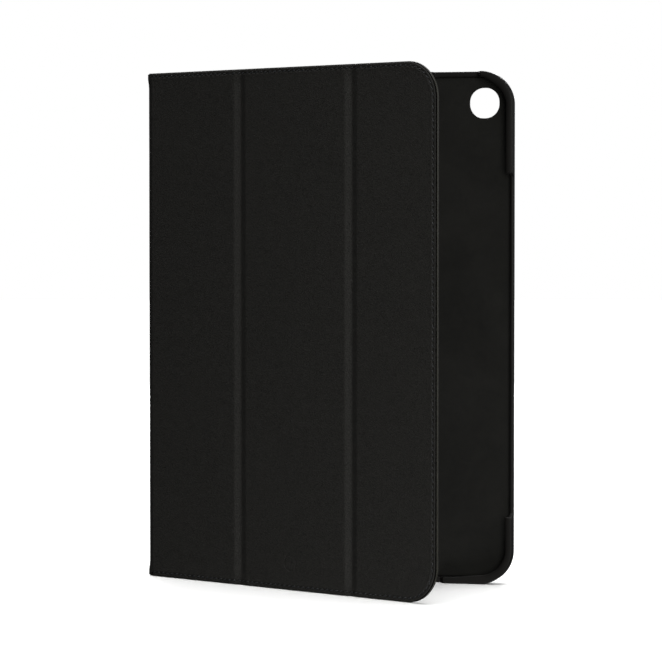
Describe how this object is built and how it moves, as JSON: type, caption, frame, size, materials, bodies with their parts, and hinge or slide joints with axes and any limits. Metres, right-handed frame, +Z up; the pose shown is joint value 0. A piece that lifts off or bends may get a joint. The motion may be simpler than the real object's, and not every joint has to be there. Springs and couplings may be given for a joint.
{
  "type": "tablet case",
  "caption": "Folding case for a tablet: a moulded tray with corner grips, a soft spine and a leather cover of three stiff panels joined by two folds, standing slightly open.",
  "frame": {"origin": "middle of the base that the standing case rests on", "axes": "+Z up along the tablet's long side, +X towards the cover's free edge side of the tray, -Y the side that the cover opens towards"},
  "size_m": [0.1868, 0.0956, 0.254],
  "materials": {
    "shell_plastic": "fine matt texture, near black with a brown cast",
    "leather": "black, fine grain, soft sheen",
    "microfibre": "short brushed nap, dark grey",
    "board": "pressed fibre board",
    "magnet": "nickel plated",
    "thread": "twisted sewing thread, near black"
  },
  "bodies": {
    "back": {"tray_shell": "shell_plastic", "tray_pad": "microfibre", "back_leather": "leather"},
    "spine": {"spine_leather": "leather", "spine_board": "board", "spine_lining": "microfibre", "back_hinge_leather": "leather", "cover_hinge_leather": "leather", "cover_hinge_lining": "microfibre"},
    "panel_1": {"panel_1_leather": "leather", "panel_1_board": "board", "panel_1_lining": "microfibre", "panel_1_thread_lower": "thread", "panel_1_thread_upper": "thread", "stand_magnet_lower": "magnet", "stand_magnet_upper": "magnet"},
    "fold_1": {"fold_1_leather": "leather", "fold_1_lining": "microfibre"},
    "panel_2": {"panel_2_leather": "leather", "panel_2_board": "board", "panel_2_lining": "microfibre", "panel_2_thread_lower": "thread", "panel_2_thread_upper": "thread"},
    "fold_2": {"fold_2_leather": "leather", "fold_2_lining": "microfibre"},
    "panel_3": {"panel_3_leather": "leather", "panel_3_board": "board", "panel_3_lining": "microfibre", "panel_3_thread": "thread", "closure_magnet_lower": "magnet", "closure_magnet_middle": "magnet", "closure_magnet_upper": "magnet", "sleep_magnet": "magnet"}
  },
  "joints": [
    {"name": "spine_hinge", "type": "hinge", "parent": "back", "child": "spine", "pos_m": [-0.09003, 0.04689, 0.127], "axis": [0, 0, -1], "range_deg": [-8, 192], "deforming": ["back_hinge_leather"]},
    {"name": "cover_hinge", "type": "hinge", "parent": "spine", "child": "panel_1", "pos_m": [-0.09155, 0.03605, 0.127], "axis": [0, 0, -1], "range_deg": [-18.4, 141.6], "deforming": ["cover_hinge_leather", "cover_hinge_lining"]},
    {"name": "fold_1_spine_side", "type": "hinge", "parent": "panel_1", "child": "fold_1", "pos_m": [-0.03808, 0.0095, 0.127], "axis": [0, 0, 1], "range_deg": [-66, 35], "deforming": ["fold_1_leather", "fold_1_lining"]},
    {"name": "fold_1_free_side", "type": "hinge", "parent": "fold_1", "child": "panel_2", "pos_m": [-0.03414, 0.00755, 0.127], "axis": [0, 0, 1], "range_deg": [-66, 35]},
    {"name": "fold_2_spine_side", "type": "hinge", "parent": "panel_2", "child": "fold_2", "pos_m": [0.02534, -0.02198, 0.127], "axis": [0, 0, 1], "range_deg": [-60, 61], "deforming": ["fold_2_leather", "fold_2_lining"]},
    {"name": "fold_2_free_side", "type": "hinge", "parent": "fold_2", "child": "panel_3", "pos_m": [0.02928, -0.02394, 0.127], "axis": [0, 0, 1], "range_deg": [-60, 61]}
  ]
}
